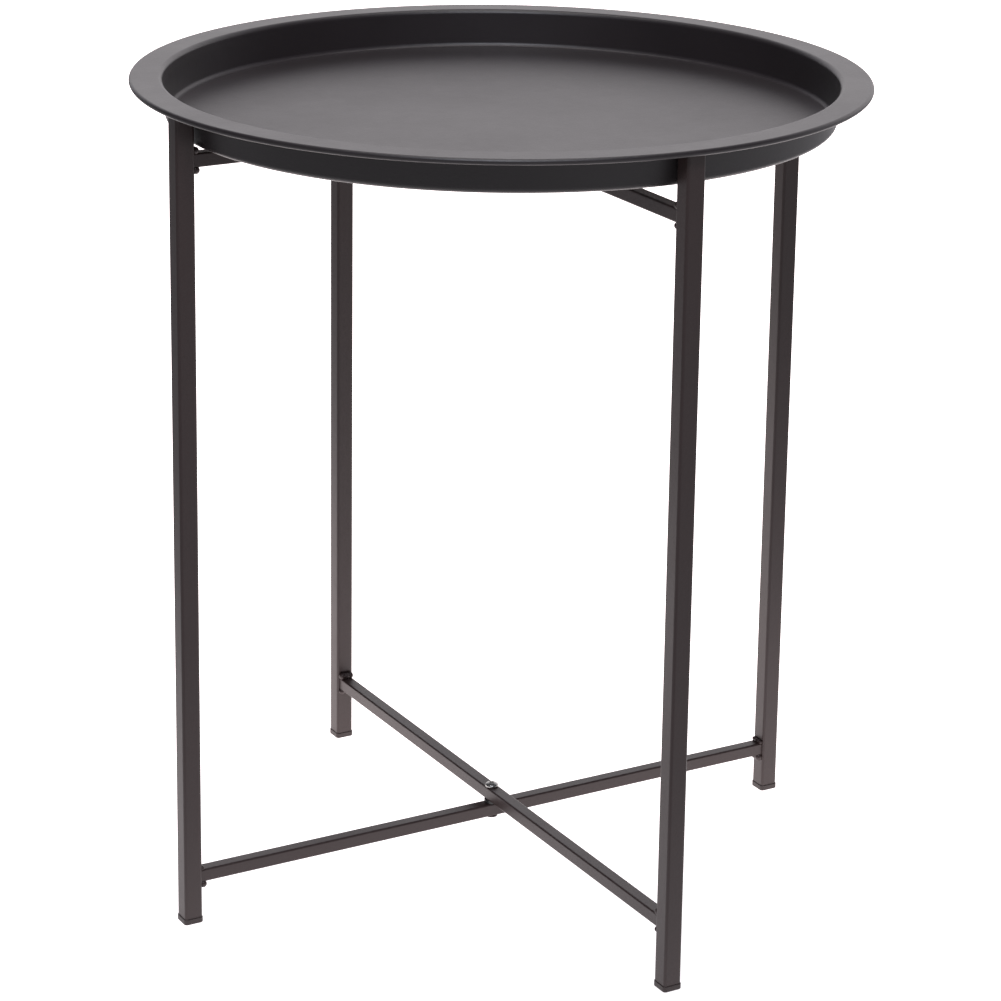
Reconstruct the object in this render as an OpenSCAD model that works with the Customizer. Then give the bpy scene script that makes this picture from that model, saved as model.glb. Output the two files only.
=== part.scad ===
// Folding tray table: a round pressed-steel tray on two welded H-frames of square tube,
// which cross on one upright pivot axis and fold flat against each other.
// Frame A runs along X and frame B along Y. The origin is on the floor, under the tray's centre.

/* [Tray] */
// Outside diameter of the tray, over its rolled edge
tray_d = 470; // [400:1:560]
// Height of the rim's top above the floor
table_h = 541.5; // [420:0.5:680]
// Depth of the tray, from the rim's top to the underside of its floor
tray_depth = 25.8; // [18:0.5:40]
// Thickness of the tray's sheet
tray_sheet = 0.6; // [0.5:0.1:1.2]
// How far the rim's flat part reaches past each leg, up to its rolled edge
rim_reach = 2.9; // [1:0.1:10]
// How much further in the wall stands at its foot than at its top
wall_draft = 1.5; // [0.5:0.1:4]
// Outside radius of the bend between floor and wall
floor_bend_r = 3.8; // [2.5:0.1:6]
// Radius of the bend between wall and rim, on the underside
rim_bend_r = 2.5; // [1.5:0.1:4]
// Diameter of the rolled edge round the rim
rim_bead_d = 3.8; // [3:0.1:6]

/* [Legs] */
// Outside width of the square leg tube
leg_size = 12.5; // [10:0.1:16]
// Wall thickness of the leg tube
leg_wall = 1; // [0.8:0.1:1.5]
// Radius on the outside corners of the leg tube
leg_corner_r = 1.8; // [1.2:0.1:2.4]
// Angle at which each leg leans outwards towards the floor
leg_lean = 0.45; // [0:0.05:2]
// Gap between the tray's wall and the top of each leg
leg_gap = 1.3; // [0.8:0.1:4]

/* [Crossbars] */
// Outside width of the square crossbar tube
bar_size = 9; // [8:0.1:11]
// Wall thickness of the crossbar tube
bar_wall = 0.9; // [0.7:0.1:1.2]
// Radius on the outside corners of the crossbar tube
bar_corner_r = 1.2; // [0.9:0.1:1.8]
// Height of the underside of frame A's lower crossbar
lower_bar_z = 27.6; // [20:0.1:60]
// Clearance between the upper pivot screw's head and the underside of the tray
head_clear = 0.6; // [0.2:0.1:4]
// Radius of the weld beads at the ends of the crossbars
weld_r = 4.4; // [1.5:0.1:5]
// How far a weld bead runs past each side of its crossbar
weld_over = 1.1; // [0:0.1:1.5]

/* [Pivots] */
// Diameter of the pivot screws
screw_d = 5; // [4:0.1:6]
// Radial running clearance of a screw in the crossbars and spacers
pivot_clear = 0.05; // [0.02:0.01:0.1]
// Endwise play of the turning bar, on the side of its spacer and on the side of the head
pivot_play = 0.1; // [0.05:0.05:0.3]
// Radial clearance of a screw in its rivet nut, where the thread would be
thread_clear = 0.02; // [0.01:0.01:0.05]
// Thickness of the spacer between the two lower crossbars
lower_spacer_t = 2.6; // [1:0.1:4]
// Thickness of the spacer between the two upper crossbars
upper_spacer_t = 1.1; // [0.8:0.1:4]
// Width of the spacers outside the screw
spacer_land = 2.5; // [2:0.1:3.5]
// How far the lower screw's pan head stands out past its shank
pan_head_lip = 2; // [1.5:0.1:3]
// Height of the lower screw's pan head
pan_head_h = 2.8; // [2:0.1:4]
// How far the upper screw's low head stands out past its shank
low_head_lip = 2.3; // [1.5:0.1:3]
// Height of the upper screw's low head
low_head_h = 1.9; // [1.5:0.1:3]
// Wall of a rivet nut's barrel, round the screw
nut_wall = 1; // [0.8:0.1:1.5]
// Length of the barrel inside the crossbar
nut_barrel_l = 5.5; // [4:0.1:7]
// How far a rivet nut's flange stands out past its barrel
nut_flange_lip = 0.8; // [0.5:0.1:1.5]
// Thickness of the flange, which shows under the crossbar
nut_flange_h = 1.3; // [0.8:0.1:2]
// Radial clearance between the barrel and its hole in the crossbar
nut_fit = 0.02; // [0.01:0.01:0.1]

/* [Plastic caps] */
// Height of the part of a foot cap that shows under the leg
foot_h = 4; // [2.5:0.1:8]
// How far a foot cap stands out past each face of the leg
foot_lip = 0.5; // [0.2:0.1:1.5]
// Height of the upright edge of the plug's head on top of each leg, under its chamfer
plug_edge = 0.4; // [0.2:0.1:2]
// Clearance between that chamfer and the bend under the tray's rim
bend_clear = 0.1; // [0.05:0.05:1]
// Length of the spigot that each cap or plug has inside the tube
spigot_l = 12; // [6:0.5:20]
// Wall thickness of the spigots
spigot_wall = 1.5; // [1:0.1:2.5]
// Clearance between a spigot and the inside of the tube, on each side
spigot_fit = 0.05; // [0.03:0.01:0.2]

/* [Hidden] */

// Turn of each leg about the pivot axis
turn_a_left = 180;
turn_a_right = 0;
turn_b_front = 270;
turn_b_rear = 90;

// Heights of the tray
tray_z = table_h - tray_depth;
rim_under_z = table_h - tray_sheet;
rim_w = leg_gap + leg_size + rim_reach + rim_bead_d; // from the top of the wall to the outer edge
wall_top_r = tray_d / 2 - rim_w;
wall_foot_r = wall_top_r - wall_draft;

// A leg's own line starts on the floor at leg_reach and leans in towards the pivot axis
leg_reach = wall_top_r + leg_gap + leg_size / 2 + rim_under_z * tan(leg_lean);
cut = 60; // size of the blocks that trim a piece to a plane
tube_bore = leg_size - 2 * leg_wall;
plug_chamfer = max(rim_bend_r - leg_gap, 0) + bend_clear;
plug_h = plug_edge + plug_chamfer;

// Heights of the crossbars, each measured to its underside
lower_a_z = lower_bar_z;
lower_b_z = lower_a_z + bar_size + lower_spacer_t + pivot_play;
upper_a_z = tray_z - head_clear - low_head_h - pivot_play - bar_size;
upper_b_z = upper_a_z - pivot_play - upper_spacer_t - bar_size;

// Screws, spacers and rivet nuts
bore_r = screw_d / 2 + pivot_clear;
thread_r = screw_d / 2 + thread_clear;
spacer_d = screw_d + 2 * spacer_land;
pan_head_d = screw_d + 2 * pan_head_lip;
low_head_d = screw_d + 2 * low_head_lip;
barrel_r = screw_d / 2 + nut_wall;
flange_r = barrel_r + nut_flange_lip;
flange_chamfer = 0.4;
screw_short = 0.3; // how far inside the flange a screw ends
recess_w = 1; // width of each slot of the cross recess
recess_share = 0.5; // length of a slot, as a share of its head's diameter
recess_floor = 0.45; // height of a slot's floor, as a share of its head's height
join = 0.01; // overlap of two solids that make one piece
level = 0.1; // extra height of a cap or plug that is cut away level
through = 1; // how far a drill runs past the metal

steel_paint = [0.20, 0.18, 0.18];
tray_paint = [0.24, 0.22, 0.22];
cap_plastic = [0.09, 0.08, 0.08];
zinc = [0.72, 0.72, 0.70];
nylon = [0.12, 0.12, 0.12];

// Points along an arc about [cx, cy], from angle a0 to angle a1
function arc(cx, cy, r, a0, a1, n = 8) =
    [for (i = [0 : n]) let (a = a0 + (a1 - a0) * i / n) [cx + r * cos(a), cy + r * sin(a)]];

// Square with rounded corners
module rounded_square(s, r) {
    square([s - 2 * r, s], center = true);
    square([s, s - 2 * r], center = true);
    for (x = [-1, 1], y = [-1, 1])
        translate([x * (s / 2 - r), y * (s / 2 - r)]) circle(r, $fn = 32);
}

// Square tube standing on the origin
module square_tube(s, wall, r, length) {
    linear_extrude(length) difference() {
        rounded_square(s, r);
        rounded_square(s - 2 * wall, r - wall / 2);
    }
}

// Moves a piece drawn on a leg's own line to its leg
module on_leg(turn) {
    rotate([0, 0, turn]) translate([leg_reach, 0, 0]) rotate([0, -leg_lean, 0]) children();
}

// ---- Tray ----

module tray_profile() {
    under = tray_depth - tray_sheet;
    inner_bend_r = floor_bend_r - tray_sheet;
    top_bend_r = rim_bend_r + tray_sheet;
    floor_c = wall_foot_r - floor_bend_r;
    rim_c = wall_top_r + rim_bend_r;
    bead_r = rim_bead_d / 2;
    bead_c = tray_d / 2 - bead_r;
    polygon(concat(
        [[0, 0]],
        arc(floor_c, floor_bend_r, floor_bend_r, 270, 360),
        arc(rim_c, under - rim_bend_r, rim_bend_r, 180, 90),
        [[bead_c, under]],
        [[bead_c, tray_depth]],
        arc(rim_c, under - rim_bend_r, top_bend_r, 90, 180),
        arc(floor_c, floor_bend_r, inner_bend_r, 360, 270),
        [[0, tray_sheet]]
    ));
    translate([bead_c, tray_depth - bead_r]) circle(bead_r, $fn = 32);
}

module tray() {
    color(tray_paint) translate([0, 0, tray_z]) rotate_extrude($fn = 240) tray_profile();
}

// ---- Legs ----

module leg(turn) {
    color(steel_paint) on_leg(turn) translate([0, 0, foot_h])
        square_tube(leg_size, leg_wall, leg_corner_r, rim_under_z - plug_h - foot_h);
}

module leg_a_left() { leg(turn_a_left); }
module leg_a_right() { leg(turn_a_right); }
module leg_b_front() { leg(turn_b_front); }
module leg_b_rear() { leg(turn_b_rear); }

// ---- Crossbars ----

// Everything from a leg's inner face outwards
module beyond_leg(turn) {
    on_leg(turn) translate([-leg_size / 2, -cut / 2, 0]) cube([cut, cut, table_h]);
}

// Bar between the legs at turn and turn + 180, drilled at its middle for the pivot screw,
// and from below for a rivet nut where it holds one
module crossbar(turn, z, holds_nut) {
    color(steel_paint) difference() {
        rotate([0, 0, turn]) translate([-leg_reach, 0, z + bar_size / 2]) rotate([0, 90, 0])
            square_tube(bar_size, bar_wall, bar_corner_r, 2 * leg_reach);
        beyond_leg(turn);
        beyond_leg(turn + 180);
        translate([0, 0, z - through]) {
            cylinder(r = bore_r, h = bar_size + 2 * through, $fn = 48);
            if (holds_nut) cylinder(r = barrel_r + nut_fit, h = through + nut_barrel_l + nut_fit, $fn = 64);
        }
    }
}

module lower_bar_a() { crossbar(turn_a_right, lower_a_z, true); }
module lower_bar_b() { crossbar(turn_b_rear, lower_b_z, false); }
module upper_bar_a() { crossbar(turn_a_right, upper_a_z, false); }
module upper_bar_b() { crossbar(turn_b_rear, upper_b_z, true); }

// ---- Welds ----

// Radius of the pivot axis to a leg's inner face at height z
function face_r(z) = leg_reach - z * tan(leg_lean) - leg_size / 2 / cos(leg_lean);

// One bead across the bar, in the corner between the bar and the leg
module weld_bead(turn, z, side) {
    bead_l = bar_size + 2 * weld_over;
    difference() {
        rotate([0, 0, turn]) translate([face_r(z), 0, z]) {
            rotate([90, 0, 0]) cylinder(r = weld_r, h = bead_l, center = true, $fn = 32);
        }
        beyond_leg(turn);
        rotate([0, 0, turn]) translate([0, -cut / 2, side > 0 ? z - cut : z]) cube([leg_reach, cut, cut]);
    }
}

// The four beads of one bar: above and below it, at both ends
module welds(turn, z) {
    color(steel_paint) for (t = [turn, turn + 180]) {
        weld_bead(t, z + bar_size, 1);
        weld_bead(t, z, -1);
    }
}

module lower_welds_a() { welds(turn_a_right, lower_a_z); }
module lower_welds_b() { welds(turn_b_rear, lower_b_z); }
module upper_welds_a() { welds(turn_a_right, upper_a_z); }
module upper_welds_b() { welds(turn_b_rear, upper_b_z); }

// ---- Foot caps and top plugs ----

// Hollow spigot that fills the tube's bore
module spigot(length) {
    s = tube_bore - 2 * spigot_fit;
    linear_extrude(length) difference() {
        rounded_square(s, leg_corner_r - leg_wall / 2);
        square(s - 2 * spigot_wall, center = true);
    }
}

module foot_cap(turn) {
    color(cap_plastic) difference() {
        on_leg(turn) {
            translate([0, 0, -level]) linear_extrude(foot_h + level)
                rounded_square(leg_size + 2 * foot_lip, leg_corner_r + foot_lip);
            translate([0, 0, foot_h]) spigot(spigot_l);
        }
        // the sole is cut level with the floor
        rotate([0, 0, turn]) translate([leg_reach - cut / 2, -cut / 2, -cut]) cube([cut, cut, cut]);
    }
}

// Side view of a plug's head, chamfered along its top edges
module plug_side() {
    side = leg_size / 2;
    top = plug_h + level;
    shoulder = plug_h - plug_chamfer;
    land = side - plug_chamfer - level;
    rotate([90, 0, 0]) linear_extrude(leg_size, center = true)
        polygon([[-side, 0], [side, 0], [side, shoulder], [land, top], [-land, top], [-side, shoulder]]);
}

module top_plug(turn) {
    color(cap_plastic) difference() {
        on_leg(turn) translate([0, 0, rim_under_z - plug_h]) {
            intersection() {
                linear_extrude(plug_h + level) rounded_square(leg_size, leg_corner_r);
                plug_side();
                rotate([0, 0, 90]) plug_side();
            }
            translate([0, 0, -spigot_l]) spigot(spigot_l);
        }
        // the top is cut level with the underside of the rim
        rotate([0, 0, turn]) translate([wall_foot_r - cut / 2, -cut / 2, rim_under_z]) cube([cut, cut, cut]);
    }
}

module foot_cap_a_left() { foot_cap(turn_a_left); }
module foot_cap_a_right() { foot_cap(turn_a_right); }
module foot_cap_b_front() { foot_cap(turn_b_front); }
module foot_cap_b_rear() { foot_cap(turn_b_rear); }
module top_plug_a_left() { top_plug(turn_a_left); }
module top_plug_a_right() { top_plug(turn_a_right); }
module top_plug_b_front() { top_plug(turn_b_front); }
module top_plug_b_rear() { top_plug(turn_b_rear); }

// ---- Pivots ----

// Screw with its head's underside at z = 0 and its shank hanging down
module pivot_screw(head_d, head_h, length) {
    dome_r = (head_d * head_d / 4 + head_h * head_h) / (2 * head_h);
    slot_l = head_d * recess_share;
    color(zinc) {
        difference() {
            rotate_extrude($fn = 64) intersection() {
                translate([0, head_h - dome_r]) circle(dome_r, $fn = 96);
                square([head_d / 2, head_h]);
            }
            for (a = [0, 90]) rotate([0, 0, a])
                translate([-slot_l / 2, -recess_w / 2, head_h * recess_floor])
                    cube([slot_l, recess_w, head_h]);
        }
        translate([0, 0, -length]) cylinder(d = screw_d, h = length + join, $fn = 48);
    }
}

module spacer(h) {
    color(nylon) difference() {
        cylinder(d = spacer_d, h = h, $fn = 64);
        translate([0, 0, -through]) cylinder(r = bore_r, h = h + 2 * through, $fn = 48);
    }
}

// Rivet nut with its flange hanging under z = 0 and its barrel standing up into the bar
module rivet_nut() {
    color(steel_paint) difference() {
        union() {
            cylinder(r = barrel_r, h = nut_barrel_l, $fn = 64);
            translate([0, 0, flange_chamfer - nut_flange_h])
                cylinder(r = flange_r, h = nut_flange_h - flange_chamfer, $fn = 64);
            translate([0, 0, -nut_flange_h])
                cylinder(r1 = flange_r - flange_chamfer, r2 = flange_r, h = flange_chamfer, $fn = 64);
        }
        translate([0, 0, -nut_flange_h - through])
            cylinder(r = thread_r, h = nut_flange_h + nut_barrel_l + 2 * through, $fn = 48);
    }
}

// Lower pivot: the screw and its nut are fixed in frame A's bar, and frame B's bar turns above it
module lower_pivot_screw() {
    head_z = lower_b_z + bar_size + pivot_play;
    length = head_z - lower_a_z + nut_flange_h - screw_short;
    translate([0, 0, head_z]) pivot_screw(pan_head_d, pan_head_h, length);
}

module lower_pivot_spacer() { translate([0, 0, lower_a_z + bar_size]) spacer(lower_spacer_t); }
module lower_rivet_nut() { translate([0, 0, lower_a_z]) rivet_nut(); }

// Upper pivot: the screw and its nut are fixed in frame B's bar, and frame A's bar turns above it
module upper_pivot_screw() {
    head_z = upper_a_z + bar_size + pivot_play;
    length = head_z - upper_b_z + nut_flange_h - screw_short;
    translate([0, 0, head_z]) pivot_screw(low_head_d, low_head_h, length);
}

module upper_pivot_spacer() { translate([0, 0, upper_b_z + bar_size]) spacer(upper_spacer_t); }
module upper_rivet_nut() { translate([0, 0, upper_b_z]) rivet_nut(); }

tray();
leg_a_left();
leg_a_right();
leg_b_front();
leg_b_rear();
lower_bar_a();
lower_bar_b();
upper_bar_a();
upper_bar_b();
lower_welds_a();
lower_welds_b();
upper_welds_a();
upper_welds_b();
foot_cap_a_left();
foot_cap_a_right();
foot_cap_b_front();
foot_cap_b_rear();
top_plug_a_left();
top_plug_a_right();
top_plug_b_front();
top_plug_b_rear();
lower_pivot_screw();
lower_pivot_spacer();
lower_rivet_nut();
upper_pivot_screw();
upper_pivot_spacer();
upper_rivet_nut();
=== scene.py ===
# Folding tray table: a round pressed-steel tray on two crossing frames of square tube.
# Lengths are in metres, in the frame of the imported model.
import math
import random

import bmesh
import bpy
from mathutils import Euler, Matrix, Vector


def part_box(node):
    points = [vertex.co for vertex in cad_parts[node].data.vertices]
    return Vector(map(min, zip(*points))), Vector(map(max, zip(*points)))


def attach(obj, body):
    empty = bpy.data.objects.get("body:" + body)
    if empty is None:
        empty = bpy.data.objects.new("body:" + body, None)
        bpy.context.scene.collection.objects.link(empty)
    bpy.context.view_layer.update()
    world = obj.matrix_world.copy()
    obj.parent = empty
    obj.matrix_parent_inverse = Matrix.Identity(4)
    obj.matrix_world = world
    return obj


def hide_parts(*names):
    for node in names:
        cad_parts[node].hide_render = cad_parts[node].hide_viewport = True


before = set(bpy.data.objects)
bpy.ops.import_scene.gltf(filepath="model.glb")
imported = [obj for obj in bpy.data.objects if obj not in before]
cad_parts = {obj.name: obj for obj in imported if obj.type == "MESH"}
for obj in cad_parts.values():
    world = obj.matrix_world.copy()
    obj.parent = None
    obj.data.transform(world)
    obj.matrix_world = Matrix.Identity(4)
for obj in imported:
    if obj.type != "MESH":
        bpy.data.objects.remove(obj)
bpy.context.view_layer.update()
mm = 0.001
slack = 0.05 * mm     # heights closer than this count as the same


# Selecting and finishing

def deselectAll():
    if bpy.context.object and bpy.context.object.mode != "OBJECT":
        bpy.ops.object.mode_set(mode="OBJECT")
    bpy.ops.object.select_all(action="DESELECT")


def workOn(piece):
    deselectAll()
    piece.select_set(True)
    bpy.context.view_layer.objects.active = piece


def editMode(piece, kind="VERT"):
    workOn(piece)
    bpy.ops.object.mode_set(mode="EDIT")
    bpy.ops.mesh.select_mode(type=kind)


def pick(piece, kind, wanted):
    # selects the vertices, edges or faces that wanted() says yes to, in edit mode
    bpy.ops.mesh.select_mode(type=kind)
    bpy.ops.mesh.select_all(action="DESELECT")
    mesh = bmesh.from_edit_mesh(piece.data)
    for part in {"VERT": mesh.verts, "EDGE": mesh.edges, "FACE": mesh.faces}[kind]:
        if wanted(part):
            part.select_set(True)
    mesh.select_flush_mode()
    bmesh.update_edit_mesh(piece.data)


def applyModifier(piece, kind, **settings):
    workOn(piece)
    modifier = piece.modifiers.new(kind.title(), kind)
    for setting, value in settings.items():
        setattr(modifier, setting, value)
    bpy.ops.object.modifier_apply(modifier=modifier.name)


def settle(piece):
    # puts the place, turn and size of the object into its mesh
    workOn(piece)
    bpy.ops.object.transform_apply(location=True, rotation=True, scale=True)


def smooth(piece, angle=40):
    workOn(piece)
    bpy.ops.object.shade_smooth_by_angle(angle=math.radians(angle))
    applyModifier(piece, "WEIGHTED_NORMAL", keep_sharp=True, weight=80)


def named(piece, name):
    piece.name = name
    piece.data.name = name
    return piece


def copyOf(piece, name, turn=0.0):
    # a copy with its own mesh, turned about the pivot axis
    workOn(piece)
    bpy.ops.object.duplicate(linked=False)
    copy = named(bpy.context.object, name)
    copy.rotation_euler.z = turn
    settle(copy)
    return copy


def join(pieces, name):
    workOn(pieces[0])
    for piece in pieces[1:]:
        piece.select_set(True)
    bpy.ops.object.join()
    return named(bpy.context.object, name)


def place(piece, body, finish, slot, *nodes):
    # the finish, the body it rides on, and the CAD nodes that it stands for
    piece.data.materials.clear()
    piece.data.materials.append(finish)
    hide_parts(*nodes)
    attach(piece, body)
    return piece


# Shader nodes

class Wire:
    # an output socket that can be added, multiplied and so on
    def __init__(self, paint, socket):
        self.paint = paint
        self.socket = socket

    def __add__(self, other):
        return self.paint.maths("ADD", self, other)

    def __radd__(self, other):
        return self.paint.maths("ADD", other, self)

    def __sub__(self, other):
        return self.paint.maths("SUBTRACT", self, other)

    def __rsub__(self, other):
        return self.paint.maths("SUBTRACT", other, self)

    def __mul__(self, other):
        return self.paint.maths("MULTIPLY", self, other)

    def __rmul__(self, other):
        return self.paint.maths("MULTIPLY", other, self)


class Paint:
    # the nodes of one material or of the world
    def __init__(self, owner):
        owner.use_nodes = True
        self.owner = owner
        self.tree = owner.node_tree
        self.tree.nodes.clear()

    def node(self, kind, settings={}, inputs={}, output=0):
        made = self.tree.nodes.new(kind)
        for setting, value in settings.items():
            if setting == "stops":
                self.setStops(made.color_ramp, value)
            else:
                setattr(made, setting, value)
        for name, value in inputs.items():
            if isinstance(value, Wire):
                self.tree.links.new(value.socket, made.inputs[name])
            else:
                made.inputs[name].default_value = value
        return Wire(self, made.outputs[output]) if made.outputs else made

    def setStops(self, ramp, stops):
        while len(ramp.elements) < len(stops):
            ramp.elements.new(1.0)
        for element, (position, value) in zip(ramp.elements, stops):
            element.position = position
            element.color = (value, value, value, 1.0)

    def maths(self, operation, first, second):
        return self.node("ShaderNodeMath", {"operation": operation}, {0: first, 1: second})

    def dot(self, where, way):
        values = {0: where, 1: tuple(way)}
        return self.node("ShaderNodeVectorMath", {"operation": "DOT_PRODUCT"}, values, "Value")

    def ease(self, value, start, end):
        # rises smoothly from 0 at start to 1 at end
        return self.node("ShaderNodeMapRange", {"interpolation_type": "SMOOTHSTEP"}, {
            "Value": value, "From Min": start, "From Max": end, "To Min": 0.0, "To Max": 1.0})

    def noise(self, where, scale, detail=2.0, roughness=0.5):
        values = {"Vector": where, "Scale": scale, "Detail": detail, "Roughness": roughness}
        return self.node("ShaderNodeTexNoise", {}, values, "Fac")

    def mixColors(self, factor, first, second):
        values = {"Factor": factor, 6: first, 7: second}
        return self.node("ShaderNodeMix", {"data_type": "RGBA"}, values, 2)


def newPaint(name):
    return Paint(bpy.data.materials.new(name))


def color(red, green, blue):
    return (red, green, blue, 1.0)


powderGrain = {"cloudScale": 18.0, "grainScale": 1500.0, "peelScale": 420.0, "dustScale": 95.0,
               "speckMix": 0.35, "bump": 0.6, "bumpDepth": 0.00012}
powderLooks = {
    "tray": {"base": (0.0230, 0.0185, 0.0198), "cloud": (0.0285, 0.0230, 0.0245), "roughness": 0.38},
    "frame": {"base": (0.0290, 0.0165, 0.0155), "cloud": (0.0370, 0.0215, 0.0205), "roughness": 0.40},
}


def powderCoat(name, look):
    # satin powder coat: soft clouds in the color, orange peel, and the fine grain of the powder
    paint = newPaint(name)
    where = paint.node("ShaderNodeTexCoord", {}, {}, "Object")
    clouds = paint.noise(where, powderGrain["cloudScale"], 3.0, 0.55)
    grain = paint.noise(where, powderGrain["grainScale"], 2.0, 0.6)
    peel = paint.noise(where, powderGrain["peelScale"], 2.0, 0.5)
    dustPaths = paint.noise(where, powderGrain["dustScale"], 4.0, 0.7)
    specks = paint.node("ShaderNodeValToRGB", {"stops": [(0.0, 0.0), (0.70, 0.0), (0.78, 1.0)]},
                        {"Fac": grain})
    tone = paint.mixColors(clouds, color(*look["base"]), color(*look["cloud"]))
    lighter = color(*[min(1.0, 1.9 * value + 0.01) for value in look["cloud"]])
    tone = paint.mixColors(specks * powderGrain["speckMix"], tone, lighter)
    roughness = look["roughness"] - 0.05 + 0.07 * clouds + 0.05 * dustPaths + 0.06 * grain
    height = peel * 0.7 + grain * 0.3
    bump = paint.node("ShaderNodeBump", {}, {
        "Strength": powderGrain["bump"], "Distance": powderGrain["bumpDepth"], "Height": height})
    shader = paint.node("ShaderNodeBsdfPrincipled", {}, {
        "Base Color": tone, "Roughness": roughness, "Normal": bump, "IOR": 1.5})
    paint.node("ShaderNodeOutputMaterial", {}, {"Surface": shader})
    return paint.owner


plasticLook = {
    "base": (0.029, 0.0185, 0.0175), "worn": (0.056, 0.039, 0.037), "wornMix": 0.5,
    "erosionScale": 2600.0, "cloudScale": 160.0,
    "roughness": 0.42, "roughnessSpread": 0.16, "bump": 0.4, "bumpDepth": 0.00008,
}


def mouldedPlastic(name, look):
    # spark-eroded mould texture, rubbed paler in patches
    paint = newPaint(name)
    where = paint.node("ShaderNodeTexCoord", {}, {}, "Object")
    erosion = paint.node("ShaderNodeTexVoronoi", {}, {"Vector": where, "Scale": look["erosionScale"]},
                         "Distance")
    clouds = paint.noise(where, look["cloudScale"], 3.0, 0.6)
    rubbed = paint.node("ShaderNodeValToRGB", {"stops": [(0.0, 0.0), (0.55, 0.0), (0.8, 1.0)]},
                        {"Fac": clouds})
    tone = paint.mixColors(rubbed * look["wornMix"], color(*look["base"]), color(*look["worn"]))
    bump = paint.node("ShaderNodeBump", {}, {
        "Strength": look["bump"], "Distance": look["bumpDepth"], "Height": erosion})
    shader = paint.node("ShaderNodeBsdfPrincipled", {}, {
        "Base Color": tone, "Roughness": look["roughness"] + look["roughnessSpread"] * clouds,
        "Normal": bump, "IOR": 1.49})
    paint.node("ShaderNodeOutputMaterial", {}, {"Surface": shader})
    return paint.owner


zincLook = {
    "base": (0.42, 0.42, 0.42), "tint": (0.37, 0.36, 0.33), "tintScale": 420.0,
    "markScale": (600.0, 9000.0, 600.0),
    "roughness": 0.28, "roughnessSpread": 0.16, "bump": 0.25, "bumpDepth": 0.00003,
}


def zincPlate(name, look):
    # bright zinc with faint passivation tints and fine marks along one way
    paint = newPaint(name)
    where = paint.node("ShaderNodeTexCoord", {}, {}, "Object")
    tints = paint.noise(where, look["tintScale"], 3.0, 0.6)
    across = paint.node("ShaderNodeMapping", {}, {"Vector": where, "Scale": look["markScale"]})
    marks = paint.noise(across, 1.0, 2.0, 0.6)
    tone = paint.mixColors(tints, color(*look["base"]), color(*look["tint"]))
    bump = paint.node("ShaderNodeBump", {}, {
        "Strength": look["bump"], "Distance": look["bumpDepth"], "Height": marks})
    shader = paint.node("ShaderNodeBsdfPrincipled", {}, {
        "Base Color": tone, "Metallic": 1.0, "Normal": bump,
        "Roughness": look["roughness"] + look["roughnessSpread"] * marks})
    paint.node("ShaderNodeOutputMaterial", {}, {"Surface": shader})
    return paint.owner


nylonLook = {
    "base": (0.022, 0.021, 0.021), "cloud": (0.032, 0.031, 0.030), "cloudScale": 700.0, "ringScale": 900.0,
    "roughness": 0.38, "roughnessSpread": 0.12, "bump": 0.2, "bumpDepth": 0.00003,
}


def turnedNylon(name, look):
    # black nylon with faint turning rings
    paint = newPaint(name)
    where = paint.node("ShaderNodeTexCoord", {}, {}, "Object")
    clouds = paint.noise(where, look["cloudScale"], 2.0, 0.5)
    rings = paint.node("ShaderNodeTexWave", {"wave_type": "RINGS", "rings_direction": "Z"},
                       {"Vector": where, "Scale": look["ringScale"], "Distortion": 0.4}, "Fac")
    tone = paint.mixColors(clouds, color(*look["base"]), color(*look["cloud"]))
    bump = paint.node("ShaderNodeBump", {}, {
        "Strength": look["bump"], "Distance": look["bumpDepth"], "Height": rings})
    shader = paint.node("ShaderNodeBsdfPrincipled", {}, {
        "Base Color": tone, "Roughness": look["roughness"] + look["roughnessSpread"] * clouds,
        "Normal": bump, "IOR": 1.53})
    paint.node("ShaderNodeOutputMaterial", {}, {"Surface": shader})
    return paint.owner


trayCoat = powderCoat("trayPowderCoat", powderLooks["tray"])
frameCoat = powderCoat("framePowderCoat", powderLooks["frame"])
capPlastic = mouldedPlastic("capPlastic", plasticLook)
zinc = zincPlate("zincPlate", zincLook)
nylon = turnedNylon("blackNylon", nylonLook)
print("finishes ready")


# Turned pieces: a profile of (radius, height) corners, rounded one by one, then spun about the pivot axis

def turnedPiece(name, corners, rounded, steps, closed=False):
    deselectAll()
    bpy.ops.mesh.primitive_plane_add(size=mm, location=(0, 0, 0))
    piece = named(bpy.context.object, name)
    editMode(piece)
    bpy.ops.mesh.merge(type="CENTER")
    bpy.ops.transform.translate(value=(corners[0][0], 0, corners[0][1]))
    path = corners[1:] + (corners[:1] if closed else [])
    last = corners[0]
    for corner in path:
        step = (corner[0] - last[0], 0, corner[1] - last[1])
        bpy.ops.mesh.extrude_vertices_move(TRANSFORM_OT_translate={"value": step})
        last = corner
    if closed:
        bpy.ops.mesh.select_all(action="SELECT")
        bpy.ops.mesh.remove_doubles(threshold=0.001 * mm)
    for index, (radius, segments) in rounded.items():
        spot = Vector((corners[index][0], 0, corners[index][1]))
        before = Vector(corners[index - 1]) - Vector(corners[index])
        after = Vector(corners[(index + 1) % len(corners)]) - Vector(corners[index])
        halfTurn = (math.pi - before.angle(after)) / 2
        pick(piece, "VERT", lambda vertex: (vertex.co - spot).length < 0.002 * mm)
        bpy.ops.mesh.bevel(offset=radius * math.tan(halfTurn), segments=segments, affect="VERTICES")
    bpy.ops.mesh.select_all(action="SELECT")
    bpy.ops.mesh.spin(steps=steps, angle=2 * math.pi, center=(0, 0, 0), axis=(0, 0, 1))
    bpy.ops.mesh.select_all(action="SELECT")
    bpy.ops.mesh.remove_doubles(threshold=0.002 * mm)
    bpy.ops.mesh.normals_make_consistent(inside=False)
    return piece


# Tray

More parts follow.
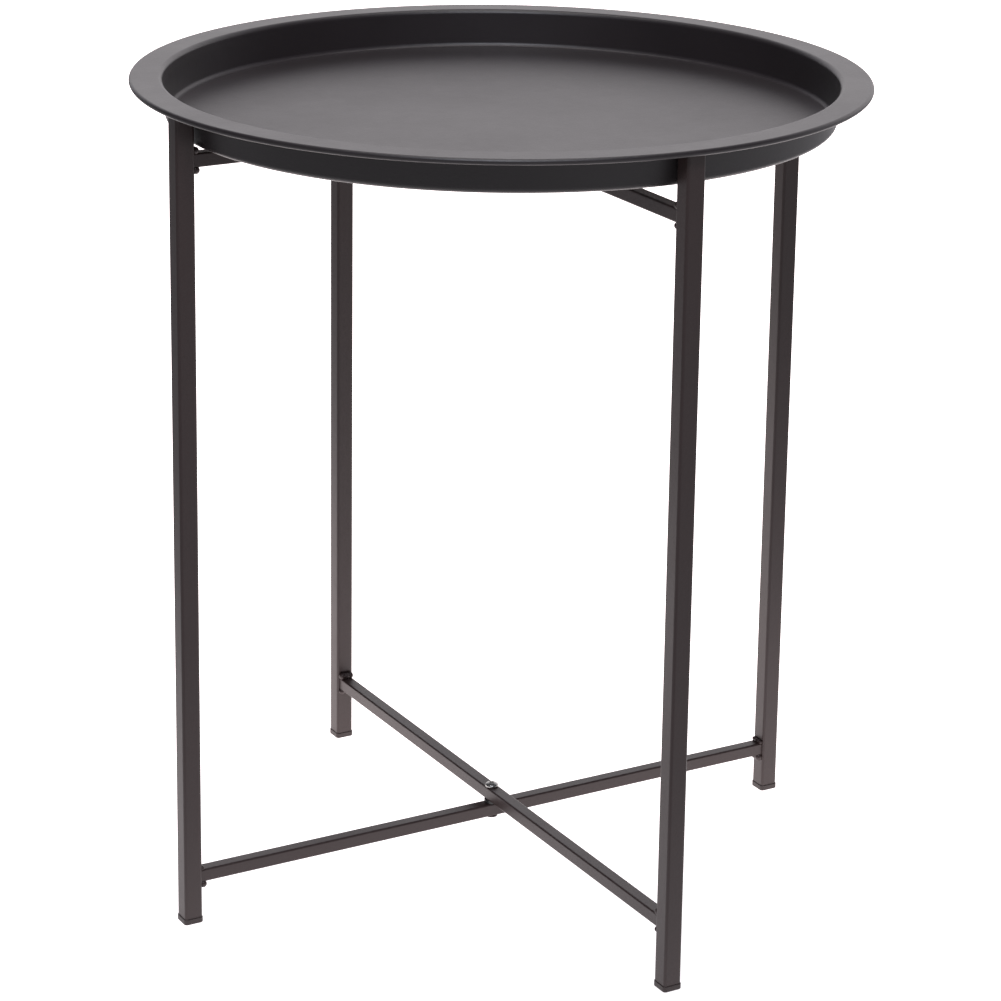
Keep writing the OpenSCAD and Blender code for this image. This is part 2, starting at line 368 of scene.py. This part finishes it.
trayShape = {
    "sheet": 0.6 * mm,
    "floorBend": 3.2 * mm,   # inside radius
    "rimBend": 3.1 * mm,     # outside radius
    "curl": 1.9 * mm,        # outside radius of the rolled edge
    "curlGap": 0.5 * mm,     # between the end of the roll and the underside of the rim
    "curlShare": 0.9995,     # keeps neighbouring roundings of the roll just apart
    "bendSegments": 10,
    "floorRings": 14,
    "steps": 288,
}


def radiusAt(node, height, reach, pickOne):
    # radius of the CAD node's surface at a height, looking only inside reach
    points = [vertex.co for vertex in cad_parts[node].data.vertices]
    radii = [math.hypot(point.x, point.y) for point in points if abs(point.z - height) < slack]
    return pickOne(radius for radius in radii if radius < reach)


def makeTray(shape):
    low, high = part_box("tray")
    floorTop = low.z + shape["sheet"]
    curlInner = high.x - 2 * shape["curl"]
    footHeight = floorTop + shape["floorBend"]
    topHeight = high.z - shape["rimBend"]
    footRadius = radiusAt("tray", footHeight, curlInner, min)
    topRadius = radiusAt("tray", topHeight, curlInner, min)
    slope = (topRadius - footRadius) / (topHeight - footHeight)
    curlLow = high.z - 2 * shape["curl"]
    corners = [
        (0.0, floorTop),
        (footRadius - slope * shape["floorBend"], floorTop),
        (topRadius + slope * shape["rimBend"], high.z),
        (high.x, high.z),
        (high.x, curlLow),
        (curlInner, curlLow),
        (curlInner, high.z - shape["sheet"] - shape["curlGap"]),
    ]
    segments = shape["bendSegments"]
    curl = (shape["curl"] * shape["curlShare"], segments)
    rounded = {1: (shape["floorBend"], segments), 2: (shape["rimBend"], segments), 3: curl, 4: curl, 5: curl}
    tray = turnedPiece("trayPan", corners, rounded, shape["steps"])
    flatReach = footRadius - shape["floorBend"] * 1.5
    pick(tray, "EDGE", lambda edge: abs(edge.verts[0].co.z - edge.verts[1].co.z) < 0.001 * mm
         and min(math.hypot(*vertex.co.xy) for vertex in edge.verts) < 0.01 * mm
         and max(math.hypot(*vertex.co.xy) for vertex in edge.verts) > flatReach)
    bpy.ops.mesh.subdivide(number_cuts=shape["floorRings"])
    tray.data.update()
    bpy.ops.object.mode_set(mode="OBJECT")
    lowest = min(tray.data.polygons, key=lambda face: face.center.xy.length)
    if lowest.normal.z < 0:
        editMode(tray)
        bpy.ops.mesh.select_all(action="SELECT")
        bpy.ops.mesh.flip_normals()
    applyModifier(tray, "SOLIDIFY", thickness=shape["sheet"], offset=-1.0, use_even_offset=True)
    smooth(tray, 50)
    return place(tray, "tray", trayCoat, "tray_paint", "tray")


makeTray(trayShape)
print("tray ready")


# Square tube for the legs and crossbars

def squareTube(name, side, wall, corner, start, end):
    # a drawn tube with rounded corners and open ends, from start to end
    along = Vector(end) - Vector(start)
    facing = {0: (0, math.pi / 2, 0), 1: (math.pi / 2, 0, 0), 2: (0, 0, 0)}
    longest = max(range(3), key=lambda axis: abs(along[axis]))
    deselectAll()
    bpy.ops.mesh.primitive_plane_add(size=side, location=start, rotation=facing[longest])
    tube = named(bpy.context.object, name)
    settle(tube)
    editMode(tube)
    bpy.ops.mesh.select_all(action="SELECT")
    bpy.ops.mesh.bevel(offset=corner, segments=8, affect="VERTICES")
    bpy.ops.mesh.select_all(action="SELECT")
    bpy.ops.mesh.extrude_region_move(TRANSFORM_OT_translate={"value": along})
    bpy.ops.mesh.select_all(action="SELECT")
    bpy.ops.mesh.normals_make_consistent(inside=False)
    pick(tube, "FACE", lambda face: len(face.verts) > 4)
    bpy.ops.mesh.delete(type="ONLY_FACE")
    applyModifier(tube, "SOLIDIFY", thickness=wall, offset=-1.0, use_even_offset=True)
    return tube


def drill(piece, radius, low, high):
    # an upright hole about the pivot axis, from low to high
    deselectAll()
    bpy.ops.mesh.primitive_cylinder_add(vertices=48, radius=radius, depth=high - low,
                                        location=(0, 0, (low + high) / 2))
    bit = bpy.context.object
    applyModifier(piece, "BOOLEAN", operation="DIFFERENCE", solver="EXACT", object=bit)
    bpy.data.objects.remove(bit, do_unlink=True)


# Legs, their foot caps and their top plugs: each is made for the leg on +X and copied

legTurns = {"a_right": 0, "b_rear": 90, "a_left": 180, "b_front": 270}
bodyOf = {"a": "frame_a", "b": "frame_b"}
legTube = {"wall": 1.0 * mm, "corner": 1.8 * mm}


def legLine():
    # the middle of the leg on +X at its lower and at its upper end
    low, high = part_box("leg_a_right")
    side = high.y - low.y
    return Vector((high.x - side / 2, 0, low.z)), Vector((low.x + side / 2, 0, high.z)), side


def standOnEachLeg(first, kind, ending, finish, slot):
    for leg, turn in legTurns.items():
        node = kind + "_" + leg
        piece = copyOf(first, node + ending, math.radians(turn))
        smooth(piece)
        place(piece, bodyOf[leg[0]], finish, slot, node)
    bpy.data.objects.remove(first, do_unlink=True)


def makeLegs(shape):
    start, end, side = legLine()
    tube = squareTube("legTube", side, shape["wall"], shape["corner"], start, end)
    standOnEachLeg(tube, "leg", "_tube", frameCoat, "frame_paint")


capShape = {
    "corner": 2.3 * mm,
    "soleRound": 0.6 * mm,
    "topRound": 0.35 * mm,
    "soleRim": 1.6 * mm,      # ring that the cap stands on
    "soleHollow": 0.5 * mm,
    "spigotWall": 1.5 * mm,
}


spigotGap = 0.05 * mm     # between a spigot and the inside of its tube
spigotHollow = 0.92       # depth of its hollow, as a share of its length


def hollowSpigot(piece, top, inset, length, wall, lean):
    # raises a hollow spigot from the face at height top
    pick(piece, "FACE", lambda face: abs(face.calc_center_median().z - top) < slack
         and abs(face.normal.z) > 0.9 and len(face.verts) > 4)
    bpy.ops.mesh.inset(thickness=inset, depth=0)
    bpy.ops.mesh.extrude_region_move(TRANSFORM_OT_translate={"value": lean * length})
    bpy.ops.mesh.inset(thickness=wall, depth=0)
    bpy.ops.mesh.extrude_region_move(TRANSFORM_OT_translate={"value": lean * (-spigotHollow * length)})


def makeFootCaps(shape):
    start, end, side = legLine()
    low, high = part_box("foot_cap_a_right")
    width = high.y - low.y
    lean = (end - start).normalized()
    foot = Vector((high.x - width / 2, 0, low.z))
    rise = start.z - low.z
    deselectAll()
    bpy.ops.mesh.primitive_plane_add(size=width, location=foot)
    cap = named(bpy.context.object, "footCap")
    settle(cap)
    editMode(cap)
    bpy.ops.mesh.select_all(action="SELECT")
    bpy.ops.mesh.bevel(offset=shape["corner"], segments=6, affect="VERTICES")
    bpy.ops.mesh.select_all(action="SELECT")
    bpy.ops.mesh.extrude_region_move(TRANSFORM_OT_translate={"value": lean * rise})
    bpy.ops.mesh.select_all(action="SELECT")
    bpy.ops.mesh.normals_make_consistent(inside=False)
    for height, amount in ((low.z, shape["soleRound"]), (low.z + rise, shape["topRound"])):
        pick(cap, "EDGE", lambda edge: all(abs(v.co.z - height) < slack for v in edge.verts))
        bpy.ops.mesh.bevel(offset=amount, segments=3, affect="EDGES")
    pick(cap, "FACE", lambda face: face.normal.z < -0.99 and len(face.verts) > 4)
    bpy.ops.mesh.inset(thickness=shape["soleRim"], depth=0)
    bpy.ops.mesh.extrude_region_move(TRANSFORM_OT_translate={"value": (0, 0, shape["soleHollow"])})
    inset = (width - side) / 2 + legTube["wall"] - shape["topRound"] + spigotGap
    hollowSpigot(cap, low.z + rise, inset, high.z - low.z - rise, shape["spigotWall"], lean)
    standOnEachLeg(cap, "foot_cap", "_moulding", capPlastic, "cap_plastic")


plugShape = {"edge": 0.4 * mm, "spigotWall": 1.5 * mm}     # edge: height left upright below the rounding


def makeTopPlugs(shape):
    start, end, side = legLine()
    low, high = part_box("top_plug_a_right")
    lean = (start - end).normalized()     # the plug hangs down into the tube
    rise = high.z - end.z
    deselectAll()
    bpy.ops.mesh.primitive_plane_add(size=side, location=(end.x, 0, high.z))
    plug = named(bpy.context.object, "topPlug")
    settle(plug)
    editMode(plug)
    bpy.ops.mesh.select_all(action="SELECT")
    bpy.ops.mesh.bevel(offset=legTube["corner"], segments=6, affect="VERTICES")
    bpy.ops.mesh.select_all(action="SELECT")
    bpy.ops.mesh.extrude_region_move(TRANSFORM_OT_translate={"value": (0, 0, -rise)})
    bpy.ops.mesh.select_all(action="SELECT")
    bpy.ops.mesh.normals_make_consistent(inside=False)
    pick(plug, "EDGE", lambda edge: all(abs(v.co.z - high.z) < slack for v in edge.verts))
    bpy.ops.mesh.bevel(offset=rise - shape["edge"], segments=4, affect="EDGES")
    inset = legTube["wall"] + spigotGap
    hollowSpigot(plug, end.z, inset, end.z - low.z, shape["spigotWall"], lean)
    standOnEachLeg(plug, "top_plug", "_moulding", capPlastic, "cap_plastic")


makeLegs(legTube)
makeFootCaps(capShape)
makeTopPlugs(plugShape)
print("legs, foot caps and top plugs ready")


# Crossbars

barTube = {"wall": 0.9 * mm, "corner": 1.2 * mm, "bore": 2.55 * mm, "nutBore": 3.55 * mm}


def makeCrossbar(level, letter, holdsNut, shape):
    node = level + "_bar_" + letter
    low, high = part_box(node)
    middle = (low + high) / 2
    side = high.z - low.z
    half = max(high.x, high.y)
    start = Vector((-half, 0, middle.z)) if letter == "a" else Vector((0, -half, middle.z))
    end = Vector((-start.x, -start.y, start.z))
    bar = squareTube(node, side, shape["wall"], shape["corner"], start, end)
    drill(bar, shape["bore"], low.z - mm, high.z + mm)
    if holdsNut:
        drill(bar, shape["nutBore"], low.z - mm, middle.z)
    named(bar, node + "_tube")
    smooth(bar)
    place(bar, bodyOf[letter], frameCoat, "frame_paint", node)


makeCrossbar("lower", "a", True, barTube)
makeCrossbar("lower", "b", False, barTube)
makeCrossbar("upper", "a", False, barTube)
makeCrossbar("upper", "b", True, barTube)
print("crossbars ready")


# Weld beads: a row of overlapping drops, run together, in each corner of a bar and a leg

weldShape = {
    "drops": 7,
    "radius": 2.9 * mm,
    "jitter": 0.3 * mm,
    "out": 1.5 * mm,          # from the corner to the middle of a drop, away from both faces
    "over": 1.3 * mm,         # past each side of the bar
    "endInset": 1.7,          # how far the end drops' middles stay in, in drop radii, both ends together
    "endThinning": 0.5 * mm,
    "dropWidth": 0.86,        # along the bead, as a share of a drop's height
    "voxel": 0.34 * mm,
    "seed": 7,
}
# size across, for the beads that aren't full size
beadSizes = {"lower_a_above": 0.6, "lower_b_below": 0.8, "upper_a_above": 0.9, "upper_b_below": 0.85}


def makeWeldBead(width, shape):
    # along Y, in the corner at the origin between a bar on the -X side and a leg's face at x = 0
    chance = random.Random(shape["seed"])
    drops = []
    for index in range(shape["drops"]):
        share = index / (shape["drops"] - 1) - 0.5
        wobble = [chance.uniform(-1, 1) * shape["jitter"] for _ in range(3)]
        radius = shape["radius"] + wobble[0] - abs(share) * shape["endThinning"]
        along = share * (width + 2 * shape["over"] - shape["endInset"] * shape["radius"])
        spot = (wobble[1] - shape["out"], along, wobble[2] + shape["out"])
        deselectAll()
        bpy.ops.mesh.primitive_uv_sphere_add(segments=24, ring_count=16, radius=radius, location=spot,
                                             scale=(1.0, shape["dropWidth"], 1.0))
        drops.append(bpy.context.object)
    bead = join(drops, "weldBead")
    settle(bead)
    applyModifier(bead, "REMESH", mode="VOXEL", voxel_size=shape["voxel"])
    applyModifier(bead, "SMOOTH", factor=0.5, iterations=2)
    return bead


def makeWelds(level, letter, bead):
    bar = level + "_bar_" + letter
    low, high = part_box(bar)
    reach = max(high.x, high.y)
    turn = 0 if letter == "a" else math.pi / 2
    beads = []
    for side in (0, math.pi):
        for height, flip, where in ((high.z, 0, "above"), (low.z, math.pi, "below")):
            size = beadSizes.get("_".join((level, letter, where)), 1.0)
            workOn(bead)
            bpy.ops.object.duplicate(linked=False)
            copy = bpy.context.object
            copy.matrix_world = (
                Matrix.Rotation(turn + side, 4, "Z") @ Matrix.Translation((reach, 0, height))
                @ Matrix.Rotation(flip, 4, "X") @ Matrix.Diagonal((size, 1.0, size, 1.0)))
            settle(copy)
            beads.append(copy)
    welds = join(beads, level + "_welds_" + letter + "_beads")
    smooth(welds, 60)
    place(welds, bodyOf[letter], frameCoat, "frame_paint", level + "_welds_" + letter)


barLow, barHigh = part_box("lower_bar_a")
weldBead = makeWeldBead(barHigh.z - barLow.z, weldShape)
for level in ("lower", "upper"):
    for letter in ("a", "b"):
        makeWelds(level, letter, weldBead)
bpy.data.objects.remove(weldBead, do_unlink=True)
print("welds ready")


# Pivots

screwShape = {
    "shank": 2.5 * mm,        # radius over the thread
    "root": 2.1 * mm,
    "pitch": 0.8 * mm,
    "threaded": 12 * mm,      # from the tip
    "threadEnd": 0.9 * mm,    # plain end below the last turn
    "tipTaper": 0.2 * mm,
    "underHead": 0.1 * mm,    # clear of the bar
    "domeReach": 0.55,        # flat top's radius, as a share of the head's radius
    "domeDrop": 0.06,         # as a share of the head's height
    "sideTop": 0.55,          # height of the head's upright side, as a share of the head's height
    "domeRound": 1.2, "shoulderRound": 0.35, "seatRound": 0.25 * mm,
    "slot": 1.35 * mm,
    "slotReach": 0.34,        # half a slot's length, as a share of the head's diameter
    "slotDepth": 0.75,        # as a share of the head's height
    "slotTaper": 0.5,
    "slotTurn": math.radians(14.3),
}


def makeScrew(level, letter, shape):
    node = level + "_pivot_screw"
    low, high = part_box(node)
    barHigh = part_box(level + "_bar_" + ("b" if letter == "a" else "a"))[1]
    seat = barHigh.z + shape["underHead"]
    headHeight = high.z - seat
    headRadius = high.x
    corners = [
        (0.0, high.z),
        (headRadius * shape["domeReach"], high.z - headHeight * shape["domeDrop"]),
        (headRadius, seat + headHeight * shape["sideTop"]),
        (headRadius, seat),
        (shape["shank"], seat),
    ]
    threadTop = low.z + shape["threaded"]
    corners.append((shape["shank"], threadTop))
    turns = int((shape["threaded"] - shape["threadEnd"]) / shape["pitch"])
    for turn in range(turns):     # plain rings stand in for the thread
        top = threadTop - turn * shape["pitch"]
        corners.append((shape["root"], top - 0.35 * shape["pitch"]))
        corners.append((shape["root"], top - 0.5 * shape["pitch"]))
        corners.append((shape["shank"], top - 0.85 * shape["pitch"]))
        corners.append((shape["shank"], top - 1.0 * shape["pitch"]))
    corners.append((shape["root"] - shape["tipTaper"], low.z))
    corners.append((0.0, low.z))
    rounded = {
        1: (headRadius * shape["domeRound"], 6),
        2: (headHeight * shape["shoulderRound"], 6),
        3: (shape["seatRound"], 3),
    }
    screw = turnedPiece(node + "_steel", corners, rounded, 64)
    bpy.ops.object.mode_set(mode="OBJECT")
    for turn, depth in ((0, 1.0), (math.pi / 2, 1.05)):
        deselectAll()
        bpy.ops.mesh.primitive_cube_add(size=1, location=(0, 0, high.z))
        cutter = bpy.context.object
        cutter.dimensions = (4 * headRadius * shape["slotReach"], shape["slot"],
                             2 * headHeight * shape["slotDepth"] * depth)
        cutter.rotation_euler.z = turn + shape["slotTurn"]
        settle(cutter)
        editMode(cutter, "FACE")
        pick(cutter, "FACE", lambda face: face.normal.z < -0.9)
        bpy.ops.transform.resize(value=(shape["slotTaper"], shape["slotTaper"], 1))
        bpy.ops.object.mode_set(mode="OBJECT")
        applyModifier(screw, "BOOLEAN", operation="DIFFERENCE", solver="EXACT", object=cutter)
        bpy.data.objects.remove(cutter, do_unlink=True)
    smooth(screw, 35)
    place(screw, bodyOf[letter], zinc, "zinc", node)


spacerShape = {"round": 0.2 * mm}


def makeSpacer(level, letter, shape):
    node = level + "_pivot_spacer"
    low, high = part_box(node)
    bore = barTube["bore"]
    corners = [(bore, low.z), (high.x, low.z), (high.x, high.z), (bore, high.z)]
    rounded = {index: (shape["round"], 3) for index in range(4)}
    spacer = turnedPiece(node + "_ring", corners, rounded, 64, closed=True)
    bpy.ops.object.mode_set(mode="OBJECT")
    smooth(spacer)
    place(spacer, bodyOf[letter], nylon, "nylon", node)


nutShape = {
    "bore": 2.52 * mm,
    "barrel": 3.5 * mm,       # outside radius
    "leadIn": 0.3 * mm, "leadHeight": 0.25 * mm,
    "bulge": 0.5 * mm, "bulgeOut": 0.05 * mm, "bulgeLength": 2.2,     # length in bulges, above the wall
    "flangeRound": 0.45 * mm, "neckRound": 0.15 * mm, "topRound": 0.4 * mm,
}


def makeRivetNut(level, letter, shape):
    node = level + "_rivet_nut"
    low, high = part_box(node)
    barLow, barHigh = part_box(level + "_bar_" + letter)
    wallTop = barLow.z + barTube["wall"]
    inside = barHigh.z - barTube["wall"]
    top = min(high.z, inside)
    barrel = shape["barrel"]
    bore = shape["bore"]
    corners = [
        (bore, low.z + shape["leadHeight"]),
        (bore + shape["leadIn"], low.z),
        (high.x, low.z),
        (high.x, barLow.z),
        (barrel, barLow.z),
        (barrel, wallTop),
        (barrel + shape["bulgeOut"], wallTop + shape["bulge"]),
        (barrel, wallTop + shape["bulgeLength"] * shape["bulge"]),
        (barrel, top),
        (bore, top),
    ]
    rounded = {2: (shape["flangeRound"], 5), 3: (shape["neckRound"], 3), 8: (shape["topRound"], 3)}
    nut = turnedPiece(node + "_sleeve", corners, rounded, 64, closed=True)
    bpy.ops.object.mode_set(mode="OBJECT")
    smooth(nut, 35)
    place(nut, bodyOf[letter], frameCoat, "frame_paint", node)


for level, letter in (("lower", "a"), ("upper", "b")):
    makeScrew(level, letter, screwShape)
    makeSpacer(level, letter, spacerShape)
    makeRivetNut(level, letter, nutShape)
print("pivots ready")


# Floor, light and camera

cameraShape = {
    "lens": 116.86,
    "sensor": 36.0,
    "clip": (0.01, 100.0),
    "place": (-1.01135, -1.76164, 0.96707),
    "heading": 29.95,         # degrees from +Y towards +X
    "dip": 19.319,
    "roll": 0.835,
}
heading = math.radians(cameraShape["heading"])
ahead = Vector((math.sin(heading), math.cos(heading), 0.0))
aside = Vector((math.cos(heading), -math.sin(heading), 0.0))


def makeCamera(shape):
    camera = bpy.data.objects.new("camera", bpy.data.cameras.new("camera"))
    bpy.context.scene.collection.objects.link(camera)
    camera.data.lens = shape["lens"]
    camera.data.sensor_width = shape["sensor"]
    camera.data.clip_start, camera.data.clip_end = shape["clip"]
    turned = (Euler((0, 0, -heading)).to_matrix()
              @ Euler((math.radians(90 - shape["dip"]), 0, 0)).to_matrix()
              @ Euler((0, 0, math.radians(shape["roll"]))).to_matrix())
    camera.matrix_world = Matrix.Translation(shape["place"]) @ turned.to_4x4()
    bpy.context.scene.camera = camera


floorLook = {
    "size": 40.0,
    "drop": 0.0002,           # below the feet
    "base": (0.30, 0.30, 0.30),
    "roughness": 0.9,
    "glow": 2.20,             # beyond the table
    "farGlow": 0.26,          # behind the camera and out to the sides
    "nearEdge": 0.38, "farEdge": -0.66,      # along the camera's heading, from the pivot axis
    "rightGlow": 0.24, "rightStart": 0.25, "rightEnd": 1.0,     # out to the camera's right
    "sideEdge": 0.34, "sideSpread": 0.16, "spreadStart": -0.3, "sideFall": 0.47,
    "tint": (1.0, 0.91, 0.91), "farTint": (0.97, 0.96, 1.0),
    "coolEdge": -1.1, "warmEdge": -0.28,
}


def makeFloor(look):
    # painted light: a sweep that glows from within, a pool of light beyond the table whose glow falls off
    # towards the camera and to the sides
    deselectAll()
    bpy.ops.mesh.primitive_plane_add(size=look["size"], location=(0, 0, -look["drop"]))
    floor = named(bpy.context.object, "studioFloor")
    settle(floor)
    # painted light: the floor looks pale because of its glow; its own colour is a mid grey
    paint = newPaint("glowingFloor")
    where = paint.node("ShaderNodeTexCoord", {}, {}, "Object")
    along = paint.dot(where, ahead)
    sideways = paint.dot(where, aside)
    across = paint.maths("ABSOLUTE", sideways, 0.0)
    near = paint.ease(along, look["farEdge"], look["nearEdge"])
    wide = across - look["sideSpread"] * paint.maths("MAXIMUM", along, look["spreadStart"])
    sides = paint.ease(wide, look["sideEdge"] + look["sideFall"], look["sideEdge"])
    lit = near * sides
    far = look["farGlow"] + look["rightGlow"] * paint.ease(sideways, look["rightStart"], look["rightEnd"])
    # painted light: the glow is strongest beyond the table and fades towards the camera and the sides
    glow = far + (look["glow"] - look["farGlow"]) * lit
    warm = paint.ease(along, look["coolEdge"], look["warmEdge"])
    tone = paint.mixColors(warm * lit, color(*look["farTint"]), color(*look["tint"]))
    shader = paint.node("ShaderNodeBsdfPrincipled", {}, {
        "Base Color": color(*look["base"]), "Roughness": look["roughness"],
        "Emission Color": tone, "Emission Strength": glow})
    paint.node("ShaderNodeOutputMaterial", {}, {"Surface": shader})
    floor.data.materials.append(paint.owner)


skyLook = {
    "backdrop": 1.48,
    "backdropTurn": 16.0,     # degrees to the right of the camera's heading
    "backdropEdges": (0.35, 0.90),
    "backdropTop": (0.45, 0.85),
    "room": 0.04,
    "tint": (1.0, 0.965, 0.985), "roomTint": (0.85, 0.88, 1.0),
}


def makeSky(look):
    # a dim room with one bright backdrop beyond the table
    world = bpy.data.worlds.new("studio")
    bpy.context.scene.world = world
    paint = Paint(world)
    where = paint.node("ShaderNodeTexCoord", {}, {}, "Generated")
    turned = heading + math.radians(look["backdropTurn"])
    facing = paint.dot(where, Vector((math.sin(turned), math.cos(turned), 0.0)))
    height = paint.dot(where, Vector((0.0, 0.0, 1.0)))
    lit = paint.ease(facing, *look["backdropEdges"]) * (1.0 - paint.ease(height, *look["backdropTop"]))
    level = look["room"] + (look["backdrop"] - look["room"]) * lit
    tone = paint.mixColors(lit, color(*look["roomTint"]), color(*look["tint"]))
    shader = paint.node("ShaderNodeBackground", {}, {"Color": tone, "Strength": level})
    paint.node("ShaderNodeOutputWorld", {}, {"Surface": shader})


lampLooks = {
    "softboxOverhead": {"place": (0.1, 0.2, 2.6), "size": 1.6, "power": 20.0, "tint": (1.0, 0.97, 0.98)},
    "softboxFront": {"place": (-0.8, -1.4, 2.35), "size": 1.2, "power": 38.0, "tint": (0.88, 0.91, 1.0)},
}
lampAim = (0.0, 0.0, 0.4)


def makeLamp(name, look):
    lamp = bpy.data.objects.new(name, bpy.data.lights.new(name, "AREA"))
    bpy.context.scene.collection.objects.link(lamp)
    lamp.data.shape = "DISK"
    lamp.data.size = look["size"]
    lamp.data.energy = look["power"]
    lamp.data.color = look["tint"]
    lamp.location = look["place"]
    lamp.rotation_euler = (Vector(lampAim) - Vector(look["place"])).to_track_quat("-Z", "Y").to_euler()


makeCamera(cameraShape)
makeFloor(floorLook)
makeSky(skyLook)
for lampName, lampLook in lampLooks.items():
    makeLamp(lampName, lampLook)
bpy.context.scene.view_settings.view_transform = "Standard"
bpy.context.scene.view_settings.look = "None"
print("studio ready")

deselectAll()
